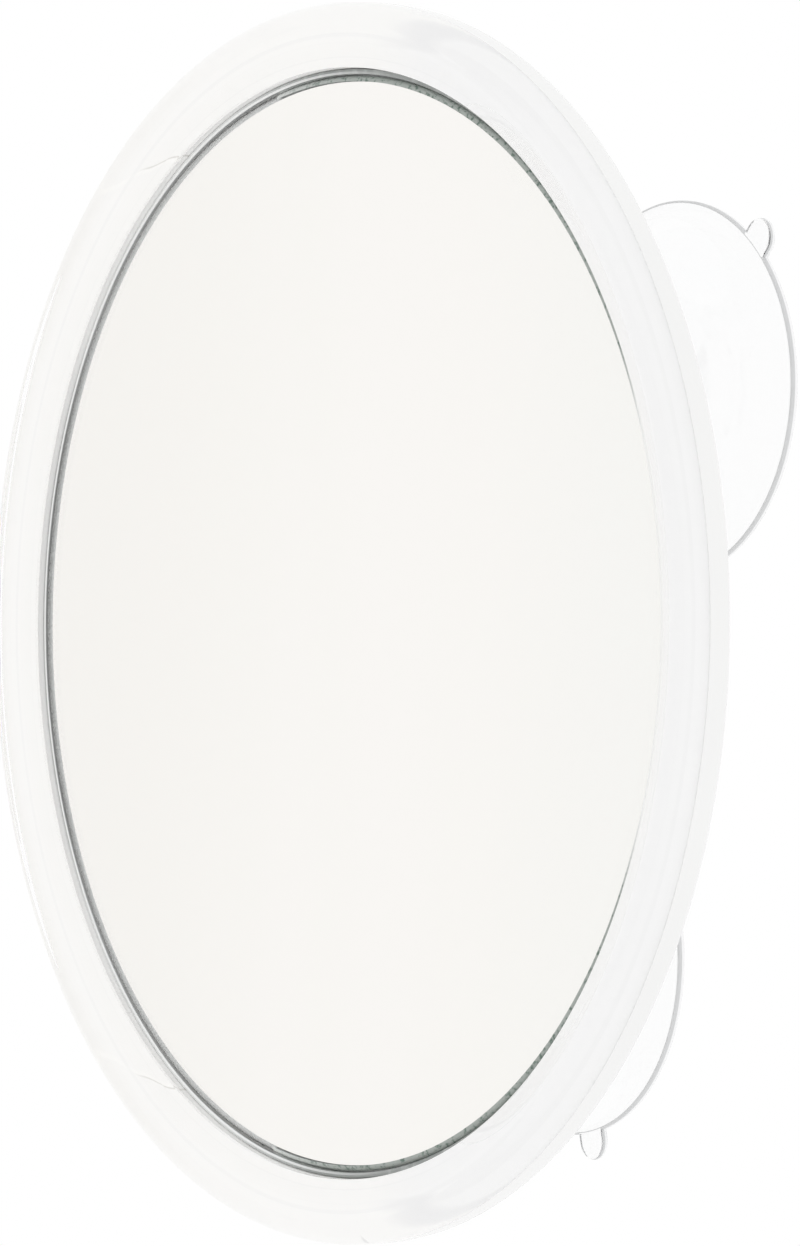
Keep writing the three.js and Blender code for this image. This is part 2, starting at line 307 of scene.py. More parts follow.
def rounded(corners):
    """The points of an outline whose corners C are rounded: between A and B, which lie the rounding
    away from C along its two sides, runs the parabola (1-s)^2 A + 2s(1-s) C + s^2 B."""
    points, reach = corners[:, :2], corners[:, 2:]
    back = np.roll(points, 1, 0) - points
    ahead = np.roll(points, -1, 0) - points
    back /= np.maximum(np.linalg.norm(back, axis=1, keepdims=True), TINY)
    ahead /= np.maximum(np.linalg.norm(ahead, axis=1, keepdims=True), TINY)
    s = np.linspace(0, 1, CORNER_STEPS + 1)[None, :, None]
    start, end = points + back * reach, points + ahead * reach
    arc = (1 - s) ** 2 * start[:, None] + 2 * s * (1 - s) * points[:, None] + s**2 * end[:, None]
    rows = np.concatenate([(start + back * HOLD)[:, None], arc, (end + ahead * HOLD)[:, None]], 1)
    plain = reach[:, 0] == 0
    rows[plain, 0] = points[plain]
    used = np.ones(rows.shape[:2], bool)
    used[plain, 1:] = False
    return rows[used]


def turned(profile, sides, middle=(0.0, 0.0)):
    """Corners and faces of a profile (radius r, place y) turned about the line along Y through
    middle: at turn u the point is (x + r cos u, y, z + r sin u). A profile that starts and ends on
    the axis closes there in two fans, and any other one closes on itself."""
    on_axis = profile[:, 0] < TINY
    ring, poles = profile[~on_axis], profile[on_axis]
    turn = np.arange(sides) * 2 * math.pi / sides
    x = middle[0] + np.outer(np.cos(turn), ring[:, 0])
    z = middle[1] + np.outer(np.sin(turn), ring[:, 0])
    y = np.broadcast_to(ring[:, 1], x.shape)
    corners = np.stack([x, y, z], -1).reshape(-1, 3)
    n = len(ring)
    steps = np.arange(n if len(poles) == 0 else n - 1)
    here, there = np.arange(sides)[:, None] * n, (np.arange(1, sides + 1)[:, None] % sides) * n
    after = (steps + 1) % n
    quads = np.stack([here + steps, here + after, there + after, there + steps], -1).reshape(-1, 4)
    faces = quads.tolist()
    if len(poles):
        tips = len(corners) + np.arange(2)
        corners = np.concatenate([corners, [[middle[0], p[1], middle[1]] for p in poles]])
        first = np.stack([there[:, 0], np.full(sides, tips[0]), here[:, 0]], -1)
        last = np.stack([here[:, 0] + n - 1, np.full(sides, tips[1]), there[:, 0] + n - 1], -1)
        faces += first.tolist() + last.tolist()
    return corners, faces


def facing_out(corners, faces):
    """The faces in the order that points outwards: the solid's volume, a sum over its faces of the
    corner product a . (b x c) / 6, must come out positive."""
    volume = 0.0
    for size in (3, 4):
        rows = np.array([f for f in faces if len(f) == size])
        for k in range(1, size - 1):
            if len(rows):
                a, b, c = corners[rows[:, 0]], corners[rows[:, k]], corners[rows[:, k + 1]]
                volume += float((a * np.cross(b, c)).sum())
    return faces if volume > 0 else [f[::-1] for f in faces]


def put_in_scene(name, data):
    """A new object that shows a mesh or a camera."""
    made = bpy.data.objects.new(name, data)
    bpy.context.scene.collection.objects.link(made)
    return made


def plain_piece(name, corners, faces):
    """An object of its own from corners and faces, as they are."""
    mesh = bpy.data.meshes.new(name)
    mesh.from_pydata(np.asarray(corners), [], faces)
    mesh.validate()
    return put_in_scene(name, mesh)


def mesh_piece(name, corners, faces):
    """A piece whose faces point outwards, smooth but for its real edges."""
    piece = plain_piece(name, corners, facing_out(corners, faces))
    smooth(piece)
    return piece


def smooth(piece):
    """Shades a piece smoothly, with edges only where its faces meet at more than the sharp angle."""
    piece.data.shade_smooth()
    piece.data.set_sharp_from_angle(angle=SHARP_ANGLE)


def turned_piece(name, profile, sides=RING_SIDES, middle=(0.0, 0.0)):
    """A smooth piece from a profile turned about an axis along Y."""
    return mesh_piece(name, *turned(profile, sides, middle))


def joined(piece, others, operation):
    """Joins the others to a piece, or cuts them out of it, and removes them."""
    group = bpy.data.collections.new(piece.name + "_tools")
    for other in others:
        group.objects.link(other)
    modifier = piece.modifiers.new("joint", "BOOLEAN")
    modifier.operation = operation
    modifier.solver = "EXACT"
    modifier.operand_type = "COLLECTION"
    modifier.collection = group
    bpy.context.view_layer.update()
    graph = bpy.context.evaluated_depsgraph_get()
    made = bpy.data.meshes.new_from_object(piece.evaluated_get(graph))
    piece.modifiers.clear()
    old, piece.data = piece.data, made
    bpy.data.meshes.remove(old)
    for other in others:
        bpy.data.objects.remove(other)
    bpy.data.collections.remove(group)
    smooth(piece)


def glass_front(radius):
    """Depth of the hollow face of the glass: a sphere's sqrt(R^2 - r^2), zero at the sight radius."""
    return np.sqrt(GLASS_CURVE**2 - radius**2) - math.sqrt(GLASS_CURVE**2 - SIGHT_RADIUS**2)


def glass_back(radius):
    """Depth of the back of the glass, which keeps one thickness along Y."""
    return glass_front(radius) + GLASS_THICKNESS


def from_glass(profile):
    """A profile whose depths count from the glass plane, placed along Y."""
    return profile + [0, GLASS_PLANE]


def from_wall(profile):
    """A profile whose heights count from the wall plane towards the user, placed along Y."""
    return profile * [1, -1] + [0, WALL_PLANE]


# Materials


class Value:
    """A shader socket that takes part in sums: an expression on values adds its Math nodes."""

    def __init__(self, shader, socket):
        self.shader, self.socket = shader, socket

    def maths(self, operation, other, swap=False):
        return self.shader.function(operation, *((other, self) if swap else (self, other)))

    def __add__(self, other):
        return self.maths("ADD", other)

    __radd__ = __add__

    def __sub__(self, other):
        return self.maths("SUBTRACT", other)

    def __rsub__(self, other):
        return self.maths("SUBTRACT", other, swap=True)

    def __mul__(self, other):
        return self.maths("MULTIPLY", other)

    __rmul__ = __mul__

    def __pow__(self, other):
        return self.maths("POWER", other)

    def smoothly(self, low, high):
        """0 below low, 1 above high and a smooth step between them."""
        settings = {"interpolation_type": "SMOOTHSTEP"}
        return self.shader.node(
            "ShaderNodeMapRange", settings, {"Value": self, "From Min": low, "From Max": high}
        )


class Shader:
    """A node tree that is written as Python: node() makes any node and wraps one of its outputs."""

    def __init__(self, tree):
        self.tree = tree
        self.tree.nodes.clear()

    def node(self, kind, settings=None, values=None, output=0):
        made = self.tree.nodes.new(kind)
        for name, value in (settings or {}).items():
            setattr(made, name, value)
        for name, value in (values or {}).items():
            socket = made.inputs[name]
            if isinstance(value, Value):
                self.tree.links.new(value.socket, socket)
            else:
                socket.default_value = value
        return Value(self, made.outputs[output]) if len(made.outputs) else None

    def place(self):
        """The place in the piece's own frame, in metres."""
        return self.node("ShaderNodeTexCoord", output="Object")

    def across(self, axis):
        """The place along one of the piece's own axes, in metres."""
        return self.node("ShaderNodeSeparateXYZ", {}, {"Vector": self.place()}, "XYZ".index(axis))

    def function(self, operation, *values):
        """A function of one or two values, as a Math node has them."""
        return self.node("ShaderNodeMath", {"operation": operation}, dict(enumerate(values)))

    def from_point(self, x, z, middle=(0.0, 0.0)):
        """The distance of x and z from a point in their plane."""
        aside, along = x - middle[0], z - middle[1]
        return (aside * aside + along * along) ** 0.5

    def noise(self, scale, detail, stretch=None):
        """Soft noise from 0 to 1 with `scale` lumps per metre."""
        spot = self.place()
        if stretch:
            spot = self.node("ShaderNodeMapping", {}, {"Vector": spot, "Scale": stretch})
        values = {"Vector": spot, "Scale": scale, "Detail": detail}
        return self.node("ShaderNodeTexNoise", {}, values)

    def mix(self, share, first, second):
        """A colour between two colours."""
        made = self.tree.nodes.new("ShaderNodeMix")
        made.data_type = "RGBA"
        for name, value in (("Factor", share), ("A", first), ("B", second)):
            sockets = [s for s in made.inputs if s.name == name and s.enabled]
            if isinstance(value, Value):
                self.tree.links.new(value.socket, sockets[0])
            else:
                sockets[0].default_value = value
        return Value(self, [s for s in made.outputs if s.enabled][0])

    def bump(self, height, distance, strength):
        """A normal that follows a height, which counts in the given distance."""
        values = {"Height": height, "Distance": distance, "Strength": strength}
        return self.node("ShaderNodeBump", {}, values)

    def finish(self, **values):
        """The surface, a Principled shader with these sockets."""
        named = {name.replace("_", " "): value for name, value in values.items()}
        surface = self.node("ShaderNodeBsdfPrincipled", {}, named)
        self.node("ShaderNodeOutputMaterial", {}, {"Surface": surface})


def new_shader(name):
    """A new material and the shader to write it with."""
    material = bpy.data.materials.new(name)
    material.use_nodes = True
    return material, Shader(material.node_tree)


def grey(level):
    """A neutral opaque colour."""
    return (level, level, level, 1)


def clear_acrylic():
    """Polished clear moulding: very faint flow lines, and a slightly uneven polish."""
    material, s = new_shader("clear_acrylic")
    flow = s.noise(28, 2.0)
    polish = s.noise(160, 3.0)
    s.finish(
        Base_Color=(1, 1, 1, 1),
        Roughness=0.005 + 0.012 * polish,
        IOR=1.49,
        Transmission_Weight=1.0,
        Normal=s.bump(flow, 0.06 * MM, 0.5),
    )
    return material


def ring_base():
    """The white base under the clear ring: darker and neutral on the user's right and lighter and a
    little warmer elsewhere, which is painted light; a soft grey streak where the two meet, a painted
    reflection;
    faint clouds and marks that run round; and a wavy dark line, a painted caustic, with a painted
    highlight on its side at the upper and lower left."""
    material, s = new_shader("ring_base")
    mottle = s.noise(40, 2.0)
    x, z = s.across("X"), s.across("Z")
    height = s.function("ABSOLUTE", z)
    radius = s.from_point(x, z)
    # Painted light: lighter and warmer on the left, darker and neutral on the user's right
    warm = s.mix(mottle, (0.968, 0.963, 0.952, 1), (0.976, 0.972, 0.962, 1))
    plain = s.mix(mottle, grey(0.941), grey(0.951))
    # Painted reflection: a soft grey streak along an arc, and the painted shade of the user's right
    # keeps inside it
    away = s.from_point(x, height, (STREAK_SIDE, -STREAK_DROP)) - STREAK_RADIUS
    tone = s.mix(x.smoothly(*TONE_FADE) * (1 - away.smoothly(*STREAK_INSIDE)), warm, plain)
    streak = (1 - (away * away).smoothly(0.0, STREAK_SPREAD)) * x.smoothly(*STREAK_FADE)
    tone = s.mix(streak * 0.9, tone, (0.87, 0.87, 0.875, 1))

    # Painted caustic: a wavy dark line with a painted highlight on one side, at the upper and lower
    # left
    turn = s.function("ARCTAN2", 0 - x, height)
    wave = s.function("SINE", radius * WAVE_RATE) * WAVE_HEIGHT
    caustic = (turn - CAUSTIC_TURN - (radius - CAUSTIC_START) * CAUSTIC_LEAN) * CAUSTIC_REACH + wave
    bright = caustic.smoothly(*GLOW_RISE) * (1 - caustic.smoothly(*GLOW_FALL))
    tone = s.mix(bright * 0.9, tone, (0.995, 0.99, 0.975, 1))
    dark = (1 - (caustic * caustic).smoothly(0.0, CAUSTIC_SPREAD)) * (1 - radius.smoothly(*CAUSTIC_FADE))
    tone = s.mix(dark * 0.8, tone, (0.74, 0.73, 0.7, 1))

    spot = polar((TONGUE_OUTER + TONGUE_INNER) / 2, GATE_ANGLE)
    gate = 1 - s.from_point(x, z, spot).smoothly(GATE_CORE, GATE_RADIUS)
    tone = s.mix(gate * 0.7, tone, grey(0.7))
    values = {"W": radius, "Scale": 900, "Detail": 2.0}
    marks = s.node("ShaderNodeTexNoise", {"noise_dimensions": "1D"}, values).smoothly(0.5, 0.8)
    s.finish(
        Base_Color=s.mix(marks * 0.4, tone, grey(0.88)),
        Roughness=0.7 + 0.1 * s.noise(300, 2.0),
    )
    return material


def clear_vinyl():
    """Soft clear vinyl: faint mould texture on a slightly wavy skin."""
    material, s = new_shader("clear_vinyl")
    waves = s.noise(90, 2.0)
    grain = s.noise(900, 3.0)
    s.finish(
        Base_Color=(0.985, 0.986, 0.987, 1),
        Roughness=0.02 + 0.03 * grain,
        IOR=1.51,
        Transmission_Weight=1.0,
        Normal=s.bump(waves, 0.1 * MM, 0.5),
    )
    return material


def vinyl_edge():
    """The cut edge of the clear vinyl, matt and grey, and paler where it nears the wall. The grey is
    painted shade, the dark outline that refraction draws round a clear cup.
    """
    material, s = new_shader("vinyl_edge")
    # Painted shade: grey outline of the clear cup, paler near the wall
    grey_side = s.mix(s.noise(300, 3.0), (0.62, 0.625, 0.63, 1), (0.7, 0.705, 0.71, 1))
    near_wall = s.across("Y").smoothly(WALL_PLANE - PALE_START, WALL_PLANE - PALE_END)
    s.finish(
        Base_Color=s.mix(near_wall, grey_side, (0.94, 0.942, 0.945, 1)),
        Roughness=0.4 + 0.2 * s.noise(900, 2.0),
    )
    return material


def seal_vinyl():
    """Satin grey gasket with a pale line along its top, which fades out on the user's right, and a pale
    foot, paler all over at the upper and lower left and darker on the user's right. The pale line, the
    paler left and the darker right are painted light and shade, standing in for the white ring that the
    gasket reflects."""
    material, s = new_shader("seal_vinyl")
    scuff = s.noise(400, 4.0).smoothly(0.5, 0.8)
    grain = s.noise(2600, 3.0)
    x = s.across("X")
    radius = s.from_point(x, s.across("Z"))
    # Painted highlight: a pale line along the gasket's top, fading out on the user's right
    line = radius.smoothly(*SEAL_LINE_START) * (1 - radius.smoothly(*SEAL_LINE_END))
    line = line * (1 - x.smoothly(*SEAL_LINE_FADE))
    foot = s.across("Y").smoothly(*SEAL_FOOT)
    # Painted light: the gasket is paler at the upper and lower left
    lit_left = x.smoothly(*SEAL_LIT_START) * (1 - x.smoothly(*SEAL_LIT_END)) * 0.65
    pale = 1 - (1 - line) * (1 - foot) * (1 - lit_left)
    dark = s.mix(scuff, (0.28, 0.295, 0.285, 1), (0.46, 0.475, 0.465, 1))
    # Painted shade: the gasket is darker on the user's right and lighter on the left
    dark = s.mix(x.smoothly(*SEAL_DARKER), (0.5, 0.51, 0.505, 1), dark)
    s.finish(
        Base_Color=s.mix(pale, dark, (0.89, 0.9, 0.89, 1)),
        Roughness=0.3 + 0.15 * grain,
        Normal=s.bump(grain, 0.02 * MM, 0.5),
    )
    return material


def clear_glass():
    """Float glass with a trace of green."""
    material, s = new_shader("clear_glass")
    s.finish(
        Base_Color=(0.975, 0.985, 0.978, 1),
        Roughness=0.002 * s.noise(60, 2.0),
        IOR=1.52,
        Transmission_Weight=1.0,
    )
    return material


def ground_edge():
    """The ground part of the glass's edge: grey-green with dark chips, and pale at both its ends, which
    is painted light.
    """
    material, s = new_shader("ground_edge")
    chips = s.noise(1300, 3.0).smoothly(0.52, 0.66)
    ground = s.mix(chips, (0.36, 0.39, 0.365, 1), (0.12, 0.17, 0.14, 1))
    x = s.across("X")
    # Painted light: the edge is pale at both ends of the ground part
    inner = x.smoothly(*GROUND_START) * (1 - x.smoothly(*GROUND_END))
    s.finish(
        Base_Color=s.mix(inner, (0.86, 0.87, 0.86, 1), ground),
        Roughness=0.45 + 0.2 * s.noise(700, 2.0),
        Normal=s.bump(chips, 0.05 * MM, 0.6),
    )
    return material


def frosted_edge():
    """The rest of the glass's edge, which is only frosted and lets light through."""
    material, s = new_shader("frosted_edge")
    s.finish(
        Base_Color=(1, 1, 1, 1),
        Roughness=0.2 + 0.15 * s.noise(700, 2.0),
        IOR=1.52,
        Transmission_Weight=1.0,
    )
    return material


def silver():
    """The silver behind the glass. Its faint upright bands, its darker, warmer left and its paler right
    are painted reflection.
    """
    material, s = new_shader("silver")
    mottle = s.noise(14, 2.0, stretch=(1, 1, 0.12)).smoothly(0.3, 0.7)
    x = s.across("X")
    # Painted reflection: the silver's tone changes across the glass
    middle = s.mix(mottle, (0.952, 0.932, 0.902, 1), (0.968, 0.942, 0.921, 1))
    left = s.mix(x.smoothly(*SILVER_START), (0.937, 0.912, 0.886, 1), middle)
    s.finish(
        Base_Color=s.mix(x.smoothly(*SILVER_END), left, (0.941, 0.928, 0.909, 1)),
        Roughness=0.0,
        Metallic=1.0,
    )
    return material


def backing_paint():
    """Grey paint over the silver, rolled on, so it has a fine orange peel."""
    material, s = new_shader("backing_paint")
    peel = s.noise(1400, 3.0)
    tone = s.noise(70, 3.0)
    s.finish(
        Base_Color=s.mix(tone, (0.2, 0.215, 0.22, 1), (0.25, 0.265, 0.27, 1)),
        Roughness=0.45 + 0.15 * peel,
        Normal=s.bump(peel, 0.04 * MM, 0.6),
    )
    return material


def white_plastic():
    """Gloss white moulding: a fine orange peel and a slightly uneven gloss and tone."""
    material, s = new_shader("white_plastic")
    peel = s.noise(320, 2.0)
    tone = s.noise(22, 3.0)
    s.finish(
        Base_Color=s.mix(tone, (0.885, 0.885, 0.88, 1), (0.92, 0.92, 0.912, 1)),
        Roughness=0.16 + 0.1 * s.noise(140, 3.0),
        IOR=1.5,
        Coat_Weight=0.25,
        Normal=s.bump(peel, 0.03 * MM, 0.5),
    )
    return material


def white_foam():
    """Closed-cell foam: small round cells on a matt white block."""
    material, s = new_shader("white_foam")
    values = {"Vector": s.place(), "Scale": 1500}
    cells = s.node("ShaderNodeTexVoronoi", {"feature": "F1"}, values)
    s.finish(
        Base_Color=s.mix(cells, (0.68, 0.68, 0.66, 1), (0.84, 0.84, 0.82, 1)),
        Roughness=0.95,
        Normal=s.bump(cells, 0.2 * MM, 0.8),
    )
    return material


# Pieces


def dress(piece, material, slot, body, *nodes):
    """Gives a new piece its finish, its body and the solids that it stands for."""
    piece.data.materials.clear()
    piece.data.materials.append(material)
    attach(piece, body)
    if nodes:
        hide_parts(*nodes)


def coat_faces(piece, material, chosen):
    """Gives one more finish to the faces that are chosen by their centres and normals."""
    polygons = piece.data.polygons
    spots, normals = (np.empty(len(polygons) * 3) for _ in range(2))
    polygons.foreach_get("center", spots)
    polygons.foreach_get("normal", normals)
    index = np.empty(len(polygons), np.int32)
    polygons.foreach_get("material_index", index)
    index[chosen(spots.reshape(-1, 3), normals.reshape(-1, 3))] = len(piece.data.materials)
    piece.data.materials.append(material)
    polygons.foreach_set("material_index", index)


def front_ring(material, base_material):
    """A clear ring over a white base that is moulded on. The clear part is a wall round the glass, a
    flank that rises from it to the crest and a round shoulder down to the seam. The base is thin,
    with the tongue and the wall's foot. Its face lies a hair inside the clear part, so that light
    meets it before the air."""
    crest = (CREST_RADIUS, -CREST_HEIGHT)
    foot = (CREST_RADIUS, -SHOULDER_FOOT)
    clear = outline(
        (LIP_RADIUS, -LIP_HEIGHT, EDGE_ROUNDING),
        sweep((LIP_RADIUS, -LIP_HEIGHT), (FLANK_RADIUS, -CREST_HEIGHT), crest)[1:],
        quarter(foot, crest, (RING_RADIUS, -SHOULDER_FOOT))[1:],
        (RING_RADIUS, -RING_SEAM, CLEAR_SEAM_ROUNDING),
        (LIP_BACK, -RING_SEAM),
        (LIP_BACK, LIP_CLEAR),
        (LIP_RADIUS, LIP_CLEAR),
    )
    ring = turned_piece("bullnose_ring", from_glass(rounded(clear)))
    dress(ring, material, "clear_acrylic", "mirror", "front_ring")

    face = -RING_SEAM - BASE_BITE
    under = -RING_SEAM + BASE_THICKNESS
    corners = outline(
        (RING_RADIUS - SEAM_ROUNDING, face),
        (LIP_BACK + BASE_BITE, face),
        (LIP_BACK + BASE_BITE, LIP_CLEAR - BASE_BITE),
        (LIP_RADIUS + BASE_BITE, LIP_CLEAR - BASE_BITE),
        (LIP_RADIUS + BASE_BITE, LIP_FOOT),
        (LIP_BACK + BASE_THICKNESS, LIP_FOOT),
        (LIP_BACK + BASE_THICKNESS, under),
        (TONGUE_INNER, under),
        (TONGUE_INNER, TONGUE_END),
        (TONGUE_OUTER, TONGUE_END),
        (TONGUE_OUTER, under),
        (RING_RADIUS - SEAM_ROUNDING, under),
    )
    base = turned_piece("ring_base", from_glass(corners[:, :2]))
    dress(base, base_material, "white_plastic", "mirror")


def edge_seal(material):
    """The gasket: its tongue follows the back of the glass, and its upstand keeps the edge of the
    glass off the ring."""
    heel = GLASS_RADIUS - SEAL_REACH
    corners = outline(
        (heel, float(glass_back(heel)) + FIT, SEAL_ROUNDING),
        (SEAL_INNER, GLASS_THICKNESS + FIT, SEAL_ROUNDING),
        (SEAL_INNER, SEAL_TOP, SEAL_ROUNDING),
        (SEAL_OUTER, SEAL_TOP, SEAL_ROUNDING),
        (SEAL_OUTER, SEAL_END, SEAL_ROUNDING),
        (heel, SEAL_END, SEAL_ROUNDING),
    )
    seal = turned_piece("edge_seal_profile", from_glass(rounded(corners)))
    dress(seal, material, "seal_vinyl", "mirror", "edge_seal")


def mirror_glass(glass_material, edge_material, frost_material, silver_material, paint_material):
    """A spherical disc of even thickness with a half-round edge, and the silver with its paint behind
    it. The silver's face lies a hair inside the glass, so that light meets it before the air."""
    reach = np.linspace(0, SIGHT_RADIUS, CURVE_STEPS)
    front = np.stack([reach, glass_front(reach)], -1)
    back = np.stack([reach, glass_back(reach)], -1)[::-1]
    middle = (SIGHT_RADIUS, GLASS_THICKNESS / 2)
    outermost = (GLASS_RADIUS, GLASS_THICKNESS / 2)
    edge = quarter(middle, front[-1], outermost, count=EDGE_STEPS)[1:]
    edge_back = quarter(middle, outermost, back[0], count=EDGE_STEPS)[1:-1]
    disc = turned_piece("glass_disc", from_glass(np.concatenate([front, edge, edge_back, back])))
    dress(disc, glass_material, "silvered_glass", "mirror", "mirror_glass")

    def on_edge(spots):
        return np.hypot(spots[:, 0], spots[:, 2]) > SIGHT_RADIUS - EDGE_BITE

    coat_faces(disc, edge_material, lambda spots, _: on_edge(spots) & (spots[:, 0] > FROST_LIMIT))
    coat_faces(disc, frost_material, lambda spots, _: on_edge(spots) & (spots[:, 0] <= FROST_LIMIT))

    reach = np.linspace(0, SIGHT_RADIUS - PAINT_MARGIN, CURVE_STEPS)
    face = np.stack([reach, glass_back(reach) - SILVER_BITE], -1)
    paint = np.stack([reach, glass_back(reach) + SILVER_THICKNESS], -1)[::-1]
    film = turned_piece("silver_back", from_glass(np.concatenate([face, paint])))
    dress(film, silver_material, "silvered_glass", "mirror")
    coat_faces(film, paint_material, lambda _, normals: normals[:, 1] > PAINT_FACING)


def bowl_face(outside):
    """A face of the bowl, parallel to its inner face: a quarter ellipse from the flat to the ledge."""
    return quarter(
        (FLAT_RADIUS, BOWL_START),
        (FLAT_RADIUS, COVER_FLOOR + outside),
        (LEDGE_INNER + outside, BOWL_START),
    )


def round_bar(name, radius, start, end, middle=(0.0, 0.0), rounding=0.0):
    """A round bar along Y between two depths, with rounded ends."""
    corners = outline((0, start), (radius, start, rounding), (radius, end, rounding), (0, end))
    return turned_piece(name, from_glass(rounded(corners)), SMALL_SIDES, middle)


def block_bar(name, inner, outer, start, end, angle):
    """A rib: a box that runs out from the axis at an angle, RIB_THICKNESS wide."""
    across = np.array([math.cos(angle), math.sin(angle)])
    aside = np.array([-across[1], across[0]]) * RIB_THICKNESS / 2
    inside, outside = across * inner, across * outer
    base = np.array([inside - aside, outside - aside, outside + aside, inside + aside])
    low, high = (np.insert(base, 1, GLASS_PLANE + depth, axis=1) for depth in (start, end))
    sides = [[i, (i + 1) % 4, (i + 1) % 4 + 4, i + 4] for i in range(4)]
    return mesh_piece(name, np.concatenate([low, high]), [[3, 2, 1, 0], [4, 5, 6, 7], *sides])


def polar(radius, angle):
    """The x and z of a point at a radius and an angle about the axis."""
    return radius * math.cos(angle), radius * math.sin(angle)


def post_angles():
    """The angles of the posts, which start at the upper cup and are evenly spaced."""
    first = math.atan2(cup_centres[0][1], cup_centres[0][0])
    return [first + i * 2 * math.pi / POST_COUNT for i in range(POST_COUNT)]


def back_cover(material):
    """The cover: a rim that carries the ring in a groove and ends in a skirt, a ledge for the gasket,
    and a bowl behind the glass. Posts, ribs and a hub stand in it, and the cups' sockets go through."""
    corners = outline(
        (0, COVER_DEPTH),
        bowl_face(COVER_WALL),
        (STEP_RADIUS, BOWL_START, STEP_ROUNDING),
        (STEP_RADIUS, FLANGE_UNDER, FULL_ROUNDING),
        (RING_RADIUS - COVER_WALL, FLANGE_UNDER, FULL_ROUNDING),
        (RING_RADIUS - COVER_WALL, SKIRT_END, FINE_ROUNDING),
        (RING_RADIUS, SKIRT_END, SKIRT_ROUNDING),
        (RING_RADIUS, COVER_LAND, SEAM_ROUNDING),
        (TONGUE_OUTER + FIT, COVER_LAND, EDGE_ROUNDING),
        (TONGUE_OUTER + FIT, GROOVE_END, EDGE_ROUNDING),
        (TONGUE_INNER - FIT, GROOVE_END, EDGE_ROUNDING),
        (TONGUE_INNER - FIT, COVER_LAND, EDGE_ROUNDING),
        (WELL_RADIUS, COVER_LAND, EDGE_ROUNDING),
        (WELL_RADIUS, LEDGE_DEPTH, EDGE_ROUNDING),
        (LEDGE_INNER, LEDGE_DEPTH, SOFT_ROUNDING),
        bowl_face(0)[::-1],
        (0, COVER_FLOOR),
    )
    cover = turned_piece("dished_cover", from_glass(rounded(corners)))

    middle = COVER_DEPTH - COVER_WALL / 2
    envelope_profile = np.concatenate([
        [[0, middle]],
        bowl_face(COVER_WALL / 2),
        [[LEDGE_INNER + COVER_WALL / 2, COVER_LAND], [0, COVER_LAND]],
    ])
    envelope = turned_piece("bowl_space", from_glass(envelope_profile), RING_SIDES // 2)

    rib_top = COVER_FLOOR - RIB_HEIGHT
    pad_seat = float(glass_back(POST_CIRCLE)) + PAD_THICKNESS + 2 * FIT
    rib_start = HUB_RADIUS - RIB_THICKNESS / 2
    rib_end = POST_CIRCLE - (POST_RADIUS + POST_BORE) / 2
    cup_circle = math.hypot(*cup_centres[0])
    rib_gap = COLLAR_RADIUS - FIT
    standing = [round_bar("hub", HUB_RADIUS, rib_top, COVER_DEPTH)]
    cutters = [round_bar("hub_bore", HUB_RADIUS - RIB_THICKNESS, rib_top - FIT, COVER_FLOOR)]
    for i, angle in enumerate(post_angles()):
        spot = polar(POST_CIRCLE, angle)
        standing.append(round_bar("post", POST_RADIUS, pad_seat, COVER_DEPTH, spot, FINE_ROUNDING))
        cutters.append(round_bar("post_bore", POST_BORE, pad_seat - FIT, rib_top, spot))
        spans = [(rib_start, rib_end)]
        if i % (POST_COUNT // len(CUP_NAMES)) == 0:
            spans = [(rib_start, cup_circle - rib_gap), (cup_circle + rib_gap, rib_end)]
        standing += [block_bar("rib", a, b, rib_top, COVER_DEPTH, angle) for a, b in spans]
    pads = []
    for spot in cup_centres:
        collar = round_bar("collar", COLLAR_RADIUS, COLLAR_FACE, COVER_DEPTH, spot, SOFT_ROUNDING)
        standing.append(collar)
        bore = round_bar("bore", NECK_RADIUS + FIT, COLLAR_FACE - FIT, SOCKET_FACE + FIT, spot)
        cutters.append(bore)
        pads.append(round_bar("pad", SOCKET_PAD, middle, SOCKET_FACE, spot, SOFT_ROUNDING))
    weep = polar((TONGUE_OUTER + TONGUE_INNER) / 2, -math.pi / 2)
    cutters.append(round_bar("weep", WEEP_RADIUS, COVER_LAND, FLANGE_UNDER + FIT, weep))

    inner = standing.pop(0)
    joined(inner, standing, "UNION")
    joined(inner, [envelope], "INTERSECT")
    joined(cover, [inner, *pads], "UNION")
    joined(cover, cutters, "DIFFERENCE")
    dress(cover, material, "white_plastic", "mirror", "back_cover")


def foam_pad(number, angle, material):
    """A foam disc on a post. Its front face follows the back of the glass at a small gap."""
    spot = polar(POST_CIRCLE, angle)
    seat = float(glass_back(POST_CIRCLE)) + PAD_THICKNESS + FIT
    face = seat - PAD_THICKNESS
    waist = PAD_RADIUS - PAD_BULGE
    corners = outline(
        (0, face),
        (waist, face, FINE_ROUNDING),
        (PAD_RADIUS, (face + seat) / 2, FULL_ROUNDING),
        (waist, seat, FINE_ROUNDING),
        (0, seat),
    )
    corners, faces = turned(from_glass(rounded(corners)), SMALL_SIDES, spot)
    away = np.hypot(corners[:, 0], corners[:, 2])
    share = np.clip((GLASS_PLANE + seat - corners[:, 1]) / (seat - face), 0, 1)
    corners[:, 1] += share * (glass_back(away) + FIT - face)
    pad = mesh_piece(f"foam_disc_{number}", corners, faces)
    dress(pad, material, "white_foam", "mirror", f"foam_pad_{number}")


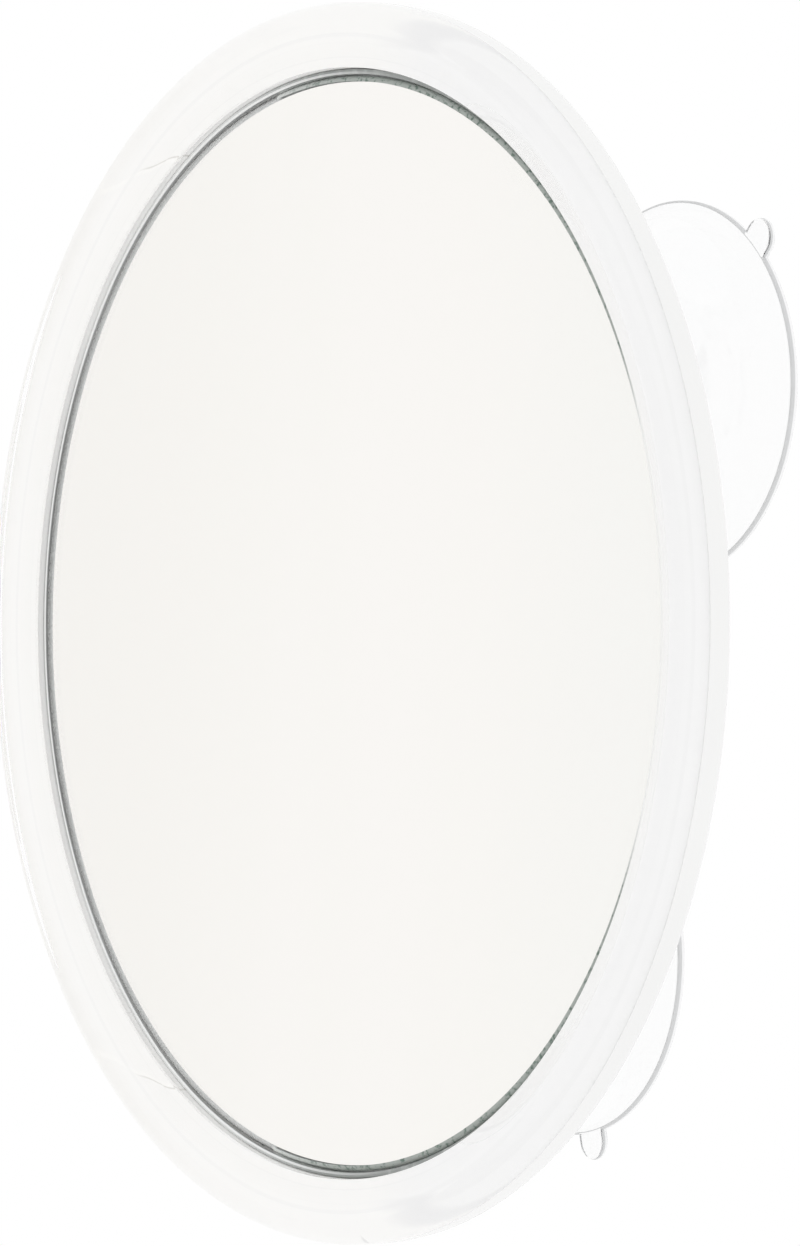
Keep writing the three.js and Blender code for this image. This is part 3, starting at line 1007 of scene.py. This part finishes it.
def cup_profile():
    """The cup in half section, from the wall up: the hollow h = H (1 - (r/L)^2)^p, the sealing land,
    the rounded edge, the skirt's cosine curve, the pedestal, the neck and the cored mushroom head."""
    land = CUP_RADIUS - CUP_LAND
    root = PEDESTAL_RADIUS + CUP_FILLET
    reach = np.linspace(0, land, 2 * CURVE_STEPS)
    hollow = np.stack([reach, CUP_HOLLOW * (1 - (reach / land) ** 2) ** HOLLOW_POWER], -1)
    share = np.linspace(1, 0, 2 * CURVE_STEPS)
    skirt = np.stack([
        root + share * (CUP_RADIUS - root),
        CUP_EDGE + (CUP_DOME - CUP_EDGE) * (1 + np.cos(math.pi * share)) / 2,
    ], -1)
    fillet_top = CUP_DOME + CUP_FILLET
    return rounded(outline(
        hollow[:-1],
        (land, 0, LAND_ROUNDING),
        (CUP_RADIUS, 0, HEEL_ROUNDING),
        (CUP_RADIUS, CUP_EDGE / 2),
        (CUP_RADIUS, CUP_EDGE, SOFT_ROUNDING),
        skirt[1:-1],
        quarter((root, fillet_top), (root, CUP_DOME), (PEDESTAL_RADIUS, fillet_top), count=EDGE_STEPS),
        (PEDESTAL_RADIUS, CUP_SHOULDER, FULL_ROUNDING),
        (NECK_RADIUS, CUP_SHOULDER, SOFT_ROUNDING),
        (NECK_RADIUS, NECK_TOP, FINE_ROUNDING),
        (HEAD_RADIUS, NECK_TOP, BRIM_ROUNDING),
        (HEAD_RADIUS, HEAD_TOP, HEAD_ROUNDING),
        (CORE_RADIUS, HEAD_TOP, SOFT_ROUNDING),
        (CORE_RADIUS, CUP_DOME + CORE_FLOOR, SOFT_ROUNDING),
        (0, CUP_DOME + CORE_FLOOR),
    ))


def pull_tab():
    """The tab: a strip with a half-round end and softened edges, lying on the wall beyond the rim."""
    half = TAB_WIDTH / 2
    middle = CUP_RADIUS + TAB_REACH - half
    turn = np.linspace(-math.pi / 2, math.pi / 2, CURVE_STEPS)
    end = np.stack([middle + half * np.cos(turn), half * np.sin(turn)], -1)
    inner = CUP_RADIUS - CUP_LAND / 2
    loop = np.concatenate([[[inner, -half]], end, [[inner, half]]])
    bend = np.linspace(0, math.pi / 2, CORNER_STEPS + 1)
    drawn_in = (1 - np.sin(bend)) * TAB_ROUNDING
    lift = (1 - np.cos(bend)) * TAB_ROUNDING
    levels = [*zip(drawn_in, lift), *zip(drawn_in[::-1], TAB_THICKNESS - lift[::-1])]
    centre = np.array([middle - half, 0.0])
    corners = np.concatenate([
        np.insert(centre + (loop - centre) * (1 - inset / half), 1, -height, axis=1)
        for inset, height in levels
    ])
    count = len(loop)
    here = np.arange(count)
    after = (here + 1) % count
    faces = [here[::-1].tolist(), (here + (len(levels) - 1) * count).tolist()]
    for low in count * np.arange(len(levels) - 1):
        high = low + count
        faces += np.stack([here + low, after + low, after + high, here + high], -1).tolist()
    return plain_piece("tab", corners, faces)


def suction_cups(material, edge_material):
    """One cup with its tab, moulded in one, set down at each centre and turned to its tab's angle.
    The outside of the rim and the sides of the tab are the cut edge."""
    form = turned_piece("cup_form", from_wall(cup_profile()) - [0, WALL_PLANE], CUP_SIDES)
    joined(form, [pull_tab()], "UNION")
    for name, (x, z) in zip(CUP_NAMES, cup_centres):
        angle = math.radians(TAB_ANGLES[name])
        mesh = form.data.copy()
        spots = np.empty(len(mesh.vertices) * 3)
        mesh.vertices.foreach_get("co", spots)
        spots = spots.reshape(-1, 3)
        across, up = spots[:, 0].copy(), spots[:, 2].copy()
        spots[:, 0] = x + across * math.cos(angle) - up * math.sin(angle)
        spots[:, 1] += WALL_PLANE
        spots[:, 2] = z + across * math.sin(angle) + up * math.cos(angle)
        mesh.vertices.foreach_set("co", spots.ravel())
        mesh.update()
        cup = put_in_scene(f"vinyl_cup_{name}", mesh)
        smooth(cup)
        dress(cup, material, "clear_vinyl", f"{name}_cup", f"suction_cup_{name}")

        def cut_edge(spots, normals):
            away = np.hypot(spots[:, 0] - x, spots[:, 2] - z)
            rim = (away > CUP_RADIUS - RIM_BAND) & (spots[:, 1] < WALL_PLANE - RIM_LIFT)
            return np.where(away > CUP_RADIUS + TAB_START, np.abs(normals[:, 1]) < TAB_STEEP, rim)

        coat_faces(cup, edge_material, cut_edge)
    bpy.data.objects.remove(form)


# Studio


def camera():
    """The photograph's camera: it looks at the glass from the side, and is turned a little."""
    back = np.array([math.sin(CAMERA_AZIMUTH), -math.cos(CAMERA_AZIMUTH), 0.0])
    right = np.array([math.cos(CAMERA_AZIMUTH), math.sin(CAMERA_AZIMUTH), 0.0])
    up = np.array([0.0, 0.0, 1.0])
    ahead = -back + math.tan(AIM_SIDE) * right + math.tan(AIM_UP) * up
    ahead /= np.linalg.norm(ahead)
    level = np.cross(ahead, up)
    level /= np.linalg.norm(level)
    upright = np.cross(level, ahead)
    side = math.cos(CAMERA_ROLL) * level + math.sin(CAMERA_ROLL) * upright
    top = -math.sin(CAMERA_ROLL) * level + math.cos(CAMERA_ROLL) * upright
    data = bpy.data.cameras.new("camera")
    data.sensor_width = SENSOR
    data.lens = SENSOR * FOCAL_PIXELS / PHOTO_HEIGHT
    data.clip_start, data.clip_end = CLIP_START, CLIP_END
    eye = put_in_scene("camera", data)
    matrix = np.eye(4)
    matrix[:3, 0], matrix[:3, 1], matrix[:3, 2] = side, top, -ahead
    matrix[:3, 3] = back * CAMERA_DISTANCE + [0, GLASS_PLANE, 0]
    eye.matrix_world = Matrix(matrix.tolist())
    bpy.context.scene.camera = eye


def studio():
    """A white room: even light from all round, and a pale floor far below. The light passes many
    clear layers of the mirror, so it may bounce often."""
    scene = bpy.context.scene
    scene.view_settings.view_transform = "Standard"
    scene.view_settings.look = "None"
    scene.cycles.blur_glossy = 0
    scene.cycles.max_bounces = 32
    scene.cycles.diffuse_bounces = 16
    scene.cycles.glossy_bounces = 24
    scene.cycles.transmission_bounces = 32
    world = bpy.data.worlds.new("studio")
    world.use_nodes = True
    scene.world = world
    s = Shader(world.node_tree)
    light = s.node("ShaderNodeBackground", {}, {"Color": grey(1.0), "Strength": LIGHT})
    s.node("ShaderNodeOutputWorld", {}, {"Surface": light})

    half = FLOOR_SIZE / 2
    ends = ((-half, -half), (half, -half), (half, half), (-half, half))
    floor = plain_piece("floor", [(x, y, -FLOOR_DEPTH) for x, y in ends], [[0, 1, 2, 3]])
    material, f = new_shader("pale_floor")
    f.finish(
        Base_Color=grey(0.0),
        Roughness=1.0,
        Specular_IOR_Level=0.0,
        Emission_Color=grey(1.0),
        Emission_Strength=LIGHT,
    )
    floor.data.materials.append(material)


camera()
studio()
front_ring(clear_acrylic(), ring_base())
edge_seal(seal_vinyl())
mirror_glass(clear_glass(), ground_edge(), frosted_edge(), silver(), backing_paint())
back_cover(white_plastic())
foam = white_foam()
for number, angle in enumerate(post_angles(), 1):
    foam_pad(number, angle, foam)
suction_cups(clear_vinyl(), vinyl_edge())
